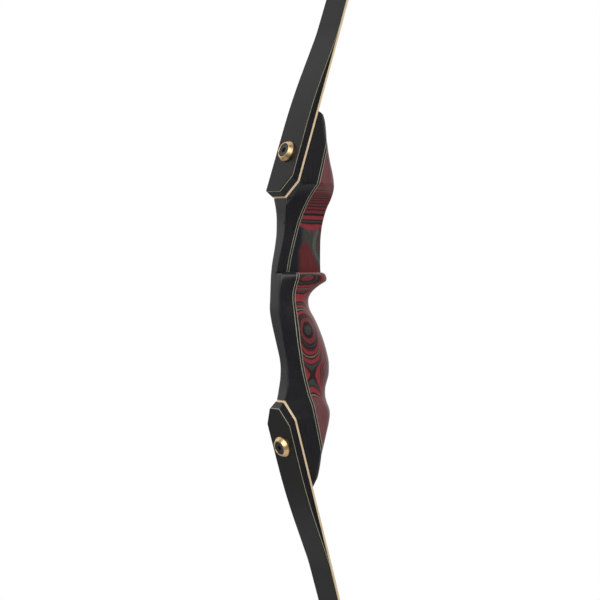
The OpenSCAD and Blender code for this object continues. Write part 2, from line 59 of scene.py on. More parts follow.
CAM_AZIMUTH, CAM_ELEVATION, CAM_ROLL = radians(38), radians(1.2678), radians(0.8434)
CAM_DISTANCE, CAM_FAR, METRES_PER_PIXEL = 2.0, 20, 0.0012
CAM_SHIFT = (-0.7808, -0.6912)
CAM_TARGET = Vector((0.010, 0, 0.0044))
SENSOR_MM, PICTURE_PIXELS = 36, 600


def add_camera():
    a, e, r = CAM_AZIMUTH, CAM_ELEVATION, CAM_ROLL
    right = Vector((-cos(a), sin(a), 0))
    back = Vector((sin(a) * cos(e), cos(a) * cos(e), sin(e)))
    up = back.cross(right)
    right, up = cos(r) * right + sin(r) * up, cos(r) * up - sin(r) * right
    data = bpy.data.cameras.new("camera")
    data.sensor_width = SENSOR_MM
    data.lens = SENSOR_MM * CAM_DISTANCE / METRES_PER_PIXEL / PICTURE_PIXELS
    data.clip_end = CAM_FAR
    camera = bpy.data.objects.new("camera", data)
    bpy.context.collection.objects.link(camera)
    place = CAM_TARGET + back * CAM_DISTANCE
    place += (up * CAM_SHIFT[1] - right * CAM_SHIFT[0]) * METRES_PER_PIXEL
    camera.matrix_world = Matrix.Translation(place) @ Matrix((right, up, back)).transposed().to_4x4()
    bpy.context.scene.camera = camera


add_camera()

# Sizes in millimetres, as in the part's own source, and angles in radians

RISER_MID, RISER_HALF = 4.4, 225
BUTT_HALF, PAD_X, LEAN = 120.2, 35, radians(18.1)
PAD_HALF_W, THROAT_HALF_W, GRIP_HALF_W, HEEL_HALF_W = 21.3, 15.2, 18.9, 15.7
SWELL_H, SWELL_Z = 3.1, -33
FRONT_X, WAIST_X, WINDOW_FRONT_X = 47.3, 31.3, 33.2
GRIP_BACK, BROW_BACK, HEEL_BACK, WINDOW_BACK = 33.9, 31.5, 26.8, 21.9
WINDOW_Y, SHELF_Z, SHELF_NOSE, NOSE_R = -0.4, 37, 24.2, 6
FLARE_Z, FLARE_R, NOSE_TURN = 85, 88, radians(38)
STRIPE_X, STRIPE_Z, STRIPE_R, STRIPE_TURN, STRIPE_END_R = 31.4, 5.3, 220, 61, 3500
PALE_T, DARK_T = 0.8, 2.4
# The butts' width and, by side (1 upper, -1 lower), half width of the end flat and length of the chamfers
BUTT_W, BUTT_FLAT, BUTT_CHAMFER, FAR_CHAMFER = 42.9, {1: 4.4, -1: 7.6}, {1: 20.5, -1: 22.5}, 2
SHOULDER_H = 1
RISER_TOP, RISER_BOTTOM = RISER_MID + RISER_HALF, RISER_MID - RISER_HALF
PAD_TOP, PAD_BOTTOM = RISER_MID + BUTT_HALF, RISER_MID - BUTT_HALF


def smooth_line(points):
    """A smooth function through the points (height, value)."""
    zs, vs = [p[0] for p in points], [p[1] for p in points]
    last = len(zs) - 1

    def slope(i):
        a, b = max(i - 1, 0), min(i + 1, last)
        return (vs[b] - vs[a]) / (zs[b] - zs[a])

    def read(z):
        z = min(max(z, zs[0]), zs[-1])
        i = min(max(bisect_left(zs, z) - 1, 0), last - 1)
        h = zs[i + 1] - zs[i]
        t = (z - zs[i]) / h
        return ((2 * t**3 - 3 * t * t + 1) * vs[i] + (t**3 - 2 * t * t + t) * h * slope(i)
                + (3 * t * t - 2 * t**3) * vs[i + 1] + (t**3 - t * t) * h * slope(i + 1))
    return read


# The riser's front and rear edges by height, x at each z
front_line = smooth_line([
    (PAD_BOTTOM, PAD_X + SHOULDER_H), (PAD_BOTTOM + 11, WAIST_X + 1.5), (-87, WAIST_X), (-71, WAIST_X + 0.6),
    (-50, FRONT_X - 10.2), (-26, FRONT_X - 3.8), (-8, FRONT_X - 0.1), (6, FRONT_X), (28, FRONT_X - 1.4),
    (SHELF_Z, FRONT_X - 2.9), (48, WINDOW_FRONT_X + 9.1), (63, WINDOW_FRONT_X + 5.4),
    (80, WINDOW_FRONT_X + 1.6), (94, WINDOW_FRONT_X), (104, WINDOW_FRONT_X + 0.4),
    (114, WINDOW_FRONT_X + 1.8), (PAD_TOP, PAD_X + SHOULDER_H)])
rear_line = smooth_line([
    (RISER_BOTTOM, 0.2), (RISER_BOTTOM + 2, -3), (RISER_BOTTOM + 5, -6.4), (RISER_BOTTOM + 11, -11.2),
    (RISER_BOTTOM + 22, -14.8), (RISER_BOTTOM + 40, -18), (RISER_BOTTOM + 61, 7.2 - BROW_BACK),
    (-140, 1.2 - BROW_BACK), (-130, 0.3 - BROW_BACK), (-118, -HEEL_BACK - 0.7), (-109, -HEEL_BACK),
    (-101, -HEEL_BACK - 1.2), (-93, 2.8 - GRIP_BACK), (-86, 0.4 - GRIP_BACK), (-76, -GRIP_BACK),
    (-69, 0.8 - GRIP_BACK), (-57, 5 - GRIP_BACK), (-45, -23.6), (-33, -17.1), (-20, -9.8), (-9, -2.5),
    (-3, -0.3), (2, 0), (6, -0.4), (12, -3.8), (18, -10.4), (SHELF_Z - 14, 6.2 - SHELF_NOSE),
    (SHELF_Z - 10.5, 0.1 - SHELF_NOSE), (SHELF_Z - 6, -SHELF_NOSE), (SHELF_Z - 2.5, 0.8 - SHELF_NOSE),
    (SHELF_Z, -WINDOW_BACK - 1), (46, -WINDOW_BACK - 0.2), (64, 0.1 - WINDOW_BACK), (76, -WINDOW_BACK),
    (90, -WINDOW_BACK - 1.4), (104, -WINDOW_BACK - 3.4), (114, -WINDOW_BACK - 5.1), (125, 1.3 - BROW_BACK),
    (134, 0.1 - BROW_BACK), (144, -BROW_BACK), (155, 2.5 - BROW_BACK), (RISER_TOP - 62, 6.5 - BROW_BACK),
    (RISER_TOP - 49, -21.6), (RISER_TOP - 32, -18.2), (RISER_TOP - 14, -15.4), (RISER_TOP - 5, -11.4),
    (RISER_TOP - 2, -6.5), (RISER_TOP, -0.6)])
# Half width of the front's flat, on the window's side and on the far side
LOW_FLAT = [(PAD_BOTTOM, BUTT_FLAT[-1]), (PAD_BOTTOM + 12, 8.7), (-90, 7.5), (-70, 7.5), (-45, 8.5),
            (-15, 9.5), (5, 8.9)]
near_flat = smooth_line(LOW_FLAT + [
    (30, 9.9), (60, 8.4), (90, 7.2), (104, 5.8), (114, 5.2), (PAD_TOP, BUTT_FLAT[1])])
far_flat = smooth_line(LOW_FLAT + [
    (28, 10.1), (SHELF_Z, 11.3), (48, 12.3), (63, 13.3), (80, 15.1), (94, 16.8), (104, 16.8), (114, 17.1),
    (PAD_TOP, BUTT_W / 2 - FAR_CHAMFER)])
# Half width at the stripes, what the palm swell adds behind them, and the depth of the rear's rounding
side_line = smooth_line([
    (RISER_BOTTOM, PAD_HALF_W), (PAD_BOTTOM - 9, PAD_HALF_W - 0.3), (-110, HEEL_HALF_W + 1.9),
    (-97, HEEL_HALF_W + 0.6), (-84, HEEL_HALF_W), (-70, HEEL_HALF_W + 0.4), (-57, GRIP_HALF_W - 1.4),
    (-42, GRIP_HALF_W - 0.4), (-30, GRIP_HALF_W), (-20, GRIP_HALF_W - 0.5), (-10, THROAT_HALF_W + 2.5),
    (-3, THROAT_HALF_W + 1.3), (5, THROAT_HALF_W), (14, THROAT_HALF_W + 0.2), (22, THROAT_HALF_W + 2.5),
    (30, THROAT_HALF_W + 5), (42, 20.3), (PAD_TOP - 5, PAD_HALF_W - 0.3), (RISER_TOP, PAD_HALF_W)])
swell_line = smooth_line([
    (RISER_BOTTOM, 0), (PAD_BOTTOM - 9, 0.2), (-105, 0.4), (-68, 0.4), (-58, 0.9),
    (SWELL_Z - 15, SWELL_H * 0.6), (SWELL_Z, SWELL_H), (SWELL_Z + 16, SWELL_H * 0.55), (-9, 0.5), (5, 0.2),
    (30, 0.6), (60, 0.3), (RISER_TOP, 0)])
round_line = smooth_line([
    (RISER_BOTTOM, 3), (RISER_BOTTOM + 8, 8), (RISER_BOTTOM + 60, 11), (PAD_BOTTOM - 9, 16), (-100, 22),
    (-60, 30), (-36, 31), (-10, 23), (5, 20), (24, 20), (34, 16), (60, 14), (120, 14), (RISER_TOP - 75, 11),
    (RISER_TOP - 8, 8), (RISER_TOP, 3)])
# Power of the rear's rounding, least share of the width there, and how far the swell stays behind the stripe
REAR_POWER, REAR_SHARE, SWELL_GAP = 2.2, 0.0004, 3


def arc_drop(r, s):
    """Fall of an arc of radius r at the share s of its radius to one side."""
    return r * (1 - sqrt(1 - s * s))


def stripe_at(z):
    """Place of the front pale stripe's middle, from front to rear."""
    u, turn = abs(z - STRIPE_Z), STRIPE_TURN / STRIPE_R
    if u < STRIPE_TURN:
        return STRIPE_X - arc_drop(STRIPE_R, u / STRIPE_R)
    end = max(turn - (u - STRIPE_TURN) / STRIPE_END_R, 0)
    return STRIPE_X - arc_drop(STRIPE_R, turn) - arc_drop(STRIPE_END_R, turn) + arc_drop(STRIPE_END_R, end)


def chamfered(past, low, length):
    """Half width of the riser along a butt's chamfer, from its value low at the butt's end."""
    return min(low + past * (BUTT_W / 2 - low) / (length * cos(LEAN)), PAD_HALF_W)


class Section:
    """The riser's section at one height."""

    def __init__(self, z, on_pad):
        past = abs(z - RISER_MID) - BUTT_HALF
        self.stripe, self.side = stripe_at(z), side_line(z)
        self.swell, self.rounding, self.rear = swell_line(z), round_line(z), rear_line(z)
        if past <= 0:
            self.front, near, far = front_line(z), near_flat(z), far_flat(z)
        else:
            self.front = PAD_X + SHOULDER_H - past * tan(LEAN)
            near = chamfered(past, BUTT_FLAT[1 if z > 0 else -1], BUTT_CHAMFER[1 if z > 0 else -1])
            far = near if z < 0 else chamfered(past, BUTT_W / 2 - FAR_CHAMFER, FAR_CHAMFER)
        self.flat = {1: near, -1: far}
        self.face = PAD_X - past * tan(LEAN) if on_pad else self.front

    def half_width(self, x, sign):
        """Half width at x, on the window's side (sign 1) or the far side (-1), without the window's cut."""
        start = self.rear + self.rounding
        peak = min(start, self.stripe - SWELL_GAP)
        t = min(max((x - peak) / (self.stripe - peak), 0), 1)
        if x > self.stripe:
            f = (x - self.stripe) / (self.front - self.stripe)
            w = self.side + (self.flat[sign] - self.side) * f
        else:
            w = self.side + self.swell * (1 - t * t)
        d = min(max((start - x) / self.rounding, 0), 1)
        return w * max(1 - d**REAR_POWER, REAR_SHARE)**(1 / REAR_POWER)


def window_at(z):
    """Sideways place of the sight window's face."""
    rise = min(max(z - FLARE_Z, 0), FLARE_R)
    return WINDOW_Y + FLARE_R - sqrt(FLARE_R * FLARE_R - rise * rise)


def ease(t):
    """From 0 to 1, slow at both ends."""
    return (1 - cos(pi * t)) / 2


def fractions(n, shape):
    return [shape((i + 1) / n) for i in range(n)]


# Points on each run of the half outline, the first column of each run, and the layers' borders
COLS = {"flat": 6, "bevel": 9, "cheek": 9, "stripes": 3, "side": 11, "round": 16}
COL_AT = np.cumsum([0] + list(COLS.values()))
LINES = [COL_AT[3] + i for i in range(4)]
LINE_OFFSETS = [PALE_T / 2, -PALE_T / 2, -PALE_T / 2 - DARK_T, -PALE_T * 1.5 - DARK_T]
# Least distances between the outline's marked points, in millimetres and as a share of their run
LAYER_GAP, FRONT_GAP, REAR_GAP, GAP_SHARE = 0.02, 0.8, 0.6, 0.3


def half_outline(s, sign, limit):
    """Points of one half of a section, from the middle of the front to the rear edge."""
    lines = [max(min(s.stripe + o, s.face - LAYER_GAP * (i + 1)), s.rear + LAYER_GAP * (8 - i))
             for i, o in enumerate(LINE_OFFSETS)]

    def crossing(a, b):
        """Place between a and b where the half width passes the limit, rising from a to b."""
        if s.half_width(a, sign) >= limit:
            return a
        if s.half_width(b, sign) <= limit:
            return b
        for _ in range(30):
            m = (a + b) / 2
            a, b = (m, b) if s.half_width(m, sign) < limit else (a, m)
        return a

    gap_front = min(FRONT_GAP, (s.face - lines[0]) * GAP_SHARE)
    front_cross = min(max(crossing(s.face, lines[0]), lines[0] + gap_front), s.face - gap_front)
    gap_rear = min(REAR_GAP, (lines[3] - s.rear) * GAP_SHARE)
    rear_cross = crossing(s.rear, min(s.rear + s.rounding, lines[3] - gap_rear))
    rear_cross = min(max(rear_cross, s.rear + gap_rear), lines[3] - gap_rear)

    def run(a, b, ts):
        return [(a + (b - a) * t, min(s.half_width(a + (b - a) * t, sign), limit)) for t in ts]

    flat = min(s.half_width(s.face, sign), limit)
    pts = [(s.face, flat * i / COLS["flat"]) for i in range(COLS["flat"] + 1)]
    pts += run(s.face, front_cross, fractions(COLS["bevel"], ease))
    pts += run(front_cross, lines[0], fractions(COLS["cheek"], ease))
    pts += [(x, min(s.half_width(x, sign), limit)) for x in lines[1:]]
    pts += run(lines[3], rear_cross, fractions(COLS["side"], ease))
    pts += run(rear_cross, s.rear, fractions(COLS["round"], lambda t: sin(t * pi / 2)))
    return np.array([(x, sign * y) for x, y in pts])


# Rounding of the riser's edges and spacing of the points it is measured with
EDGE_SIGMA, OUTLINE_STEP = 0.45, 0.15


def rounded(loop):
    """The closed outline with its corners rounded, point for point."""
    closed = np.vstack([loop, loop[:1]])
    lengths = np.hypot(*np.diff(closed, axis=0).T)
    at = np.concatenate([[0], np.cumsum(lengths)])
    total = at[-1]
    dense = np.arange(0, total, OUTLINE_STEP)
    px, py = np.interp(dense, at, closed[:, 0]), np.interp(dense, at, closed[:, 1])
    d = np.abs(at[:-1, None] - dense[None, :])
    d = np.minimum(d, total - d)
    w = np.exp(-d * d / (2 * EDGE_SIGMA**2))
    w /= w.sum(axis=1, keepdims=True)
    return np.column_stack([w @ px, w @ py])


UNCUT = 99  # beyond any half width of the riser
# The shelf's rounded edge starts at this place and is full this much further forward
EDGE_FADE_X, EDGE_FADE = -17, 11


def ring(z, on_pad=False, windowed=False, inset=0.0):
    """Both halves of the riser's outline at one height: rows of x, y, z from front to rear."""
    s = Section(z, on_pad)
    near = half_outline(s, 1, window_at(z) if windowed else UNCUT)
    far = half_outline(s, -1, UNCUT)
    # The shelf's nose, rounded off towards the window's side
    if SHELF_Z - NOSE_R < z < SHELF_Z and not windowed:
        limit = SHELF_NOSE - NOSE_R + sqrt(NOSE_R**2 - (NOSE_R - SHELF_Z + z)**2)
        out = np.array([-cos(NOSE_TURN), sin(NOSE_TURN)])
        past = np.maximum(near @ out - limit, 0) * np.clip((near[:, 1] - WINDOW_Y + 2) / 3, 0, 1)
        near -= past[:, None] * out
    n = len(near)
    loop = rounded(np.vstack([near, far[:0:-1]]))
    # The window's side is drawn in, which rounds the shelf's edge
    if inset:
        ahead, behind = np.roll(loop, -1, axis=0), np.roll(loop, 1, axis=0)
        along = ahead - behind
        along /= np.maximum(np.hypot(*along.T)[:, None], 1e-9)
        inward = np.column_stack([-along[:, 1], along[:, 0]])
        w = np.clip((loop[:, 1] - WINDOW_Y + 0.5) / 1.5, 0, 1)
        w = w * np.clip((loop[:, 0] - EDGE_FADE_X) / EDGE_FADE, 0, 1) * inset
        loop = loop + inward * w[:, None]
    near, far = loop[:n], np.vstack([loop[:1], loop[:n - 1:-1]])
    heights = np.full((n, 1), z)
    return np.hstack([near, heights]), np.hstack([far, heights])


def spread(start, *parts):
    """Places after the start through (end, spacing) pairs, evenly spaced in each."""
    out = []
    for end, spacing in parts:
        n = max(round(abs(end - start) / spacing), 1)
        out += [start + (end - start) * i / n for i in range(1, n + 1)]
        start = end
    return out


# Distances of the first outlines from each end, the height of the shoulders' step past the pads' ends, that
# of its slope, the radius of the shelf's edge and the depth of the last outline under the shelf
TIP_STEPS = [0, 0.4, 1, 1.8, 2.8, 4, 5.5, 7.5, 10, 12.5]
PAD_STEP, STEP_RISE, SHELF_EDGE_R, UNDER_SHELF = 0.4, 0.1, 4.5, 0.03


def riser_rings():
    """Outlines from the bottom to the top, closer together where the shape changes faster."""
    chamfer, low_chamfer = BUTT_CHAMFER[1] * cos(LEAN), BUTT_CHAMFER[-1] * cos(LEAN)
    rings = [ring(RISER_BOTTOM + t, on_pad=True) for t in TIP_STEPS]
    rings += [ring(z, on_pad=True) for z in spread(
        RISER_BOTTOM + TIP_STEPS[-1], (PAD_BOTTOM - low_chamfer, 2.5), (PAD_BOTTOM + PAD_STEP, 1.6))]
    start = PAD_BOTTOM + PAD_STEP + STEP_RISE
    rings += [ring(z) for z in [start] + spread(
        start, (-12, 2.2), (SHELF_Z - NOSE_R, 1.5), (SHELF_Z - SHELF_EDGE_R, 0.7))]
    for angle in range(10, 91, 10):
        a = radians(angle)
        top = SHELF_Z - SHELF_EDGE_R + SHELF_EDGE_R * sin(a)
        rings.append(ring(top - (UNDER_SHELF if angle == 90 else 0), inset=SHELF_EDGE_R * (1 - cos(a))))
    rings += [ring(z, windowed=True) for z in [SHELF_Z] + spread(
        SHELF_Z, (FLARE_Z, 2), (116, 1.6), (PAD_TOP - PAD_STEP - STEP_RISE, 0.9))]
    start = PAD_TOP - PAD_STEP
    rings += [ring(z, on_pad=True, windowed=True) for z in [start] + spread(
        start, (PAD_TOP + 2, 0.8), (PAD_TOP + chamfer, 0.9), (150, 1), (RISER_TOP - TIP_STEPS[-1], 2.5))]
    return rings + [ring(RISER_TOP - t, on_pad=True, windowed=True) for t in TIP_STEPS[-2::-1]]


def new_object(name, mesh, slot_name):
    obj = bpy.data.objects.new(name, mesh)
    bpy.context.collection.objects.link(obj)
    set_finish(obj, slot_name)
    return obj


def smooth_shaded(mesh, sharp=30):
    mesh.shade_smooth()
    mesh.set_sharp_from_angle(angle=radians(sharp))


def finish_mesh(mesh, sharp=30):
    bm = bmesh.new()
    bm.from_mesh(mesh)
    bmesh.ops.recalc_face_normals(bm, faces=bm.faces)
    bm.to_mesh(mesh)
    bm.free()
    smooth_shaded(mesh, sharp)


def loft(name, rings, sharp=30):
    """A closed mesh through rings of equal length, capped at both ends. Rings are in millimetres."""
    n = len(rings[0])
    verts = [tuple(c * MM for c in p) for r in rings for p in r]
    faces = [(i * n + j, i * n + (j + 1) % n, (i + 1) * n + (j + 1) % n, (i + 1) * n + j)
             for i in range(len(rings) - 1) for j in range(n)]
    faces += [tuple(range(n - 1, -1, -1)), tuple(range((len(rings) - 1) * n, len(rings) * n))]
    mesh = bpy.data.meshes.new(name)
    mesh.from_pydata(verts, [], faces)
    mesh.validate()
    finish_mesh(mesh, sharp)
    return mesh


def limb_to_world(side, x, y, s):
    """Turns a place off the pad and along the limb into the row frame, in millimetres."""
    return (PAD_X + x * cos(LEAN) - s * sin(LEAN), y,
            RISER_MID + side * (BUTT_HALF + x * sin(LEAN) + s * cos(LEAN)))


def limb_matrix(side):
    """Turns limb coordinates in metres, x off the pad and z along the limb, to the row frame."""
    o = Vector(limb_to_world(side, 0, 0, 0)) * MM
    x = Vector((cos(LEAN), 0, side * sin(LEAN)))
    z = Vector((-sin(LEAN), 0, side * cos(LEAN)))
    y = z.cross(x)
    return Matrix.Translation(o) @ Matrix((x, y, z)).transposed().to_4x4()


def bore(side, s, from_x, to_x, diameter, segments=48):
    """A cutter for a round hole across the limb's or pad's face."""
    bm = bmesh.new()
    r = diameter / 2 * MM
    bmesh.ops.create_cone(bm, cap_ends=True, segments=segments, radius1=r, radius2=r,
                          depth=(to_x - from_x) * MM)
    turn = Matrix.Rotation(pi / 2, 4, "Y")
    move = Matrix.Translation(Vector(((from_x + to_x) / 2, 0, s)) * MM)
    bm.transform(limb_matrix(side) @ move @ turn)
    mesh = bpy.data.meshes.new("cutter")
    bm.to_mesh(mesh)
    bm.free()
    return bpy.data.objects.new("cutter", mesh)


def cut(obj, cutters):
    for c in cutters:
        bpy.context.collection.objects.link(c)
        m = obj.modifiers.new("cut", "BOOLEAN")
        m.operation, m.solver, m.object = "DIFFERENCE", "EXACT", c
    bpy.context.view_layer.update()
    graph = bpy.context.evaluated_depsgraph_get()
    mesh = bpy.data.meshes.new_from_object(obj.evaluated_get(graph))
    obj.modifiers.clear()
    obj.data = mesh
    for c in cutters:
        bpy.data.objects.remove(c)
    smooth_shaded(mesh)


# Places of the bolt and the pins along the limb, and the riser's bores for the insert and the pins
BOLT_S, PIN_S = 54, (22, 86)
INSERT_D, INSERT_DEPTH, PIN_D, PIN_DEPTH = 12, 20, 6, 10
# The riser's layers from front to rear: piece, CAD node, material slot
RISER_LAYERS = [
    ("riser_front", "riser_front_block", "black_wood"),
    ("front_stripe", "front_accent_stripe", "pale_veneer"),
    ("middle_stripe", "middle_accent_stripe", "black_wood"),
    ("rear_stripe", "rear_accent_stripe", "pale_veneer"),
    ("riser_grip", "riser_grip_block", "red_black_laminate")]


def riser_bores():
    holes = [(BOLT_S, INSERT_DEPTH, INSERT_D)] + [(s, PIN_DEPTH, PIN_D) for s in PIN_S]
    return [bore(side, s, -depth, 4, d) for side in (1, -1) for s, depth, d in holes]


def build_riser():
    rings = riser_rings()
    bounds = [0] + LINES + [COL_AT[-1]]
    pieces = []
    for k, (name, node, slot_name) in enumerate(RISER_LAYERS):
        a, b = bounds[k], bounds[k + 1]
        # A layer ends where it runs out at the riser's surface
        kept = [(near, far) for near, far in rings if near[a][0] - near[b][0] > 0.15]
        first = 1 if k == 0 else 0
        loops = [np.vstack([near[a:b + 1], far[a + first:b + 1][::-1]]) for near, far in kept]
        piece = new_object(name, loft(name, loops), slot_name)
        if k == 0:
            cut(piece, riser_bores())
        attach(piece, "riser")
        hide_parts(node)
        pieces.append(piece)
    return pieces


riser = build_riser()

# Limbs

LIMB_LEN, STRAIGHT, BEND, BEND_R, RECURVE, RECURVE_R = 640, 250, 180, 570, 170, 187
FADE_W, RECURVE_W, TIP_W = 39.4, 22, 13
BEND_END, RECURVE_END = STRAIGHT + BEND, STRAIGHT + BEND + RECURVE
BELLY_T, CORE_T, CORE_TIP_T, WEDGE_T, VENEER_T, BACK_T = 0.8, 2.2, 2, 8.7, 0.8, 1
WEDGE_FLAT, WEDGE_LEN = 120, 210
# Rounding where the wedge starts and stops getting thinner, as shares of its sloping length
WEDGE_START_EASE, WEDGE_END_EASE = 0.4, 0.1
OVERLAY_T, OVERLAY_LEN = 2.5, 42
GROOVE_S, GROOVE_R, GROOVE_TILT = 17, 2, radians(55)
TIP_R, TIP_POWER = 7, 2.6
# The butt's end bevel by side, the length along the limb over which it fades, and the chamfers' lean
BUTT_BEVEL, BEVEL_FADE = {1: radians(20), -1: radians(27)}, 30
CHAMFER_LEAN = radians(11)
LIMB_T = BELLY_T + CORE_T + WEDGE_T + VENEER_T + BACK_T


def heading(s):
    """How far the limb has turned towards the target at a place along it."""
    return min(max(s - STRAIGHT, 0), BEND) / BEND_R + min(max(s - BEND_END, 0), RECURVE) / RECURVE_R


def arc(r, a, b):
    return np.array([r * (cos(a) - cos(b)), r * (sin(b) - sin(a))])


BEND_A, TIP_A = BEND / BEND_R, BEND / BEND_R + RECURVE / RECURVE_R


def belly_point(s):
    """Place on the belly's surface: x off the pad, then z along it."""
    if s <= STRAIGHT:
        return np.array([0, s])
    p = np.array([0, STRAIGHT]) + arc(BEND_R, 0, min(heading(s), BEND_A))
    if s > BEND_END:
        p = p + arc(RECURVE_R, BEND_A, heading(s))
    if s > RECURVE_END:
        p = p + (s - RECURVE_END) * np.array([sin(TIP_A), cos(TIP_A)])
    return p


def limb_point(s, n):
    """Place at a height n over the belly: x off the pad, then z along it."""
    h = heading(s)
    return belly_point(s) + n * np.array([cos(h), -sin(h)])


def eased_rise(t, reach):
    """0 below 0 and t above it, with the corner rounded over the reach."""
    return max(t, 0) if abs(t) >= reach else (t + reach)**2 / (4 * reach)


def line_at(s, j):
    """Height over the belly of line j: belly, glass, core, wedge, veneer, back, overlay."""
    core = CORE_T + (CORE_TIP_T - CORE_T) * min(max((s - WEDGE_LEN) / (LIMB_LEN - WEDGE_LEN), 0), 1)
    t = (WEDGE_LEN - s) / (WEDGE_LEN - WEDGE_FLAT)
    wedge = WEDGE_T * (eased_rise(t, WEDGE_END_EASE) - eased_rise(t - 1, WEDGE_START_EASE))
    return sum([BELLY_T, core, wedge, VENEER_T, BACK_T, OVERLAY_T][:j])


# Width of the limb by place along it
width_line = smooth_line([
    (0, BUTT_W), (WEDGE_FLAT, BUTT_W + (FADE_W - BUTT_W) * 0.45), (STRAIGHT, FADE_W),
    (STRAIGHT + BEND * 0.75, (FADE_W + RECURVE_W) / 2), (BEND_END + RECURVE * 0.6, RECURVE_W),
    (LIMB_LEN - 24, TIP_W + 1), (LIMB_LEN, TIP_W - 1)])


def limb_half(s, n, sign, side):
    """Half width of the limb at one place, with the butt's chamfers, the string grooves and the round tip."""
    w = width_line(s) / 2
    if side > 0 and sign < 0:
        w = min(w, BUTT_W / 2 - FAR_CHAMFER + max(s, 0))
    else:
        rise = (BUTT_W / 2 - BUTT_FLAT[side]) / BUTT_CHAMFER[side]
        w = min(w, BUTT_FLAT[side] + rise * s - tan(CHAMFER_LEAN) * sqrt(1 + rise * rise) * n)
    off = (s - LIMB_LEN + GROOVE_S) * sin(GROOVE_TILT) - n * cos(GROOVE_TILT)
    if abs(off) < GROOVE_R:
        w -= sqrt(GROOVE_R**2 - off * off)
    if s > LIMB_LEN - TIP_R:
        w *= max(1 - ((s - LIMB_LEN + TIP_R) / TIP_R)**TIP_POWER, 0.05)**(1 / TIP_POWER)
    return w


# Marks along the limb, each with the spacing of the outlines from there on
LIMB_MARKS = [
    (0, 1.5), (30, 4), (60, 6), (WEDGE_FLAT, 6), (WEDGE_LEN, 5), (STRAIGHT, 4), (BEND_END, 2.5),
    (LIMB_LEN - OVERLAY_LEN, 2), (LIMB_LEN - GROOVE_S - 4, 0.35), (LIMB_LEN - GROOVE_S + 9, 1),
    (LIMB_LEN - TIP_R, 0.5), (LIMB_LEN, 0)]


def limb_stations(a, b):
    out = [a]
    for (low, spacing), (high, _) in zip(LIMB_MARKS[:-1], LIMB_MARKS[1:]):
        if high > a and low < b:
            out += spread(max(low, a), (min(high, b), spacing))
    return out


# Share of the overlay's thickness where its ramp starts, and the least angle of a sharp edge in degrees
RAMP_START, LIMB_SHARP = 0.04, 35


def limb_strip(name, side, a, b, low, high, bevel_low=0.0, bevel_high=0.0, ramp=0.0):
    """One lamination between two places along the limb and between two of line_at's lines."""
    rings = []
    for s in limb_stations(a, b):
        n0, n1 = line_at(s, low), line_at(s, high)
        if ramp and s < a + ramp:
            n1 = n0 + (n1 - n0) * (RAMP_START + (1 - RAMP_START) * sin((s - a) / ramp * pi / 2))
        layers = [(n0, bevel_low)] if bevel_low else []
        layers += [(n0 + bevel_low, 0), (n1 - bevel_high, 0)]
        layers += [(n1, bevel_high)] if bevel_high else []
        pts = {1: [], -1: []}
        for sign in (1, -1):
            for n, inset in layers:
                t = s + n * tan(BUTT_BEVEL[side]) * max(1 - s / BEVEL_FADE, 0)
                x, z = limb_point(t, n)
                pts[sign].append(limb_to_world(side, x, sign * (limb_half(t, n, sign, side) - inset), z))
        rings.append(np.array(pts[1] + pts[-1][::-1]))
    return loft(name, rings, LIMB_SHARP)


# Where the limb's pieces start and end: the butt, the two flex lines and the tip
SPLITS = (0, 295, 432, LIMB_LEN)
# Laminations: name, line under it, bevels of its lower and upper edges, material slot
LAMINATIONS = [("back_glass", 4, 0, 0.35, "black_glass"), ("veneer", 3, 0, 0, "pale_veneer"),
               ("core", 1, 0, 0, "maple_core"), ("belly_glass", 0, 0.3, 0, "clear_glass")]
WEDGE_END, OVERLAY_RAMP, OVERLAY_BEVEL = WEDGE_LEN + 5, 16, 0.6
BOLT_HOLE_D, PIN_HOLE_D, PIN_HOLE_DEPTH, CUT_MARGIN = 9.2, 6.02, 6.5, 2


def blend_limb(piece):
    """Bakes a piece's transform into its mesh."""
    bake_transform(piece)


def build_limb(name, side):
    made = {part: [] for part, *_ in LAMINATIONS}
    for k in range(3):
        for part, low, bevel_low, bevel_high, slot_name in LAMINATIONS:
            title = "%s_%s_%d" % (name, part, k + 1)
            mesh = limb_strip(title, side, SPLITS[k], SPLITS[k + 1], low, low + 1, bevel_low, bevel_high)
            made[part].append(new_object(title, mesh, slot_name))
    wedge = new_object(name + "_wedge", limb_strip(name + "_wedge", side, 0, WEDGE_END, 2, 3), "black_wood")
    mesh = limb_strip(name + "_overlay", side, LIMB_LEN - OVERLAY_LEN, LIMB_LEN, 5, 6, 0, OVERLAY_BEVEL,
                      OVERLAY_RAMP)
    overlay = new_object(name + "_overlay", mesh, "tip_overlay")
    pinned = (wedge, made["core"][0], made["belly_glass"][0])
    for piece in (made["back_glass"][0], made["veneer"][0]) + pinned:
        cutters = [bore(side, BOLT_S, -CUT_MARGIN, LIMB_T + CUT_MARGIN, BOLT_HOLE_D)]
        if piece in pinned:
            cutters += [bore(side, s, -CUT_MARGIN, PIN_HOLE_DEPTH, PIN_HOLE_D, 32) for s in PIN_S]
        cut(piece, cutters)
    for k in range(3):
        for part in made:
            blend_limb(made[part][k])
    blend_limb(wedge)
    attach(overlay, name + "_outer")
    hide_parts(name + "_butt_wedge")
    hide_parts(name + "_butt_veneer")
    for part in ("back_glass", "core", "belly_glass"):
        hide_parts(name + "_butt_" + part, name + "_inner_" + part)
        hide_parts(name + "_middle_" + part)
        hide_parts(name + "_outer_" + part)
    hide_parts(name + "_tip_overlay")
    made["wedge"], made["overlay"] = [wedge], [overlay]
    return made


limbs = {"upper": build_limb("upper", 1), "lower": build_limb("lower", -1)}

# Washers and bolts

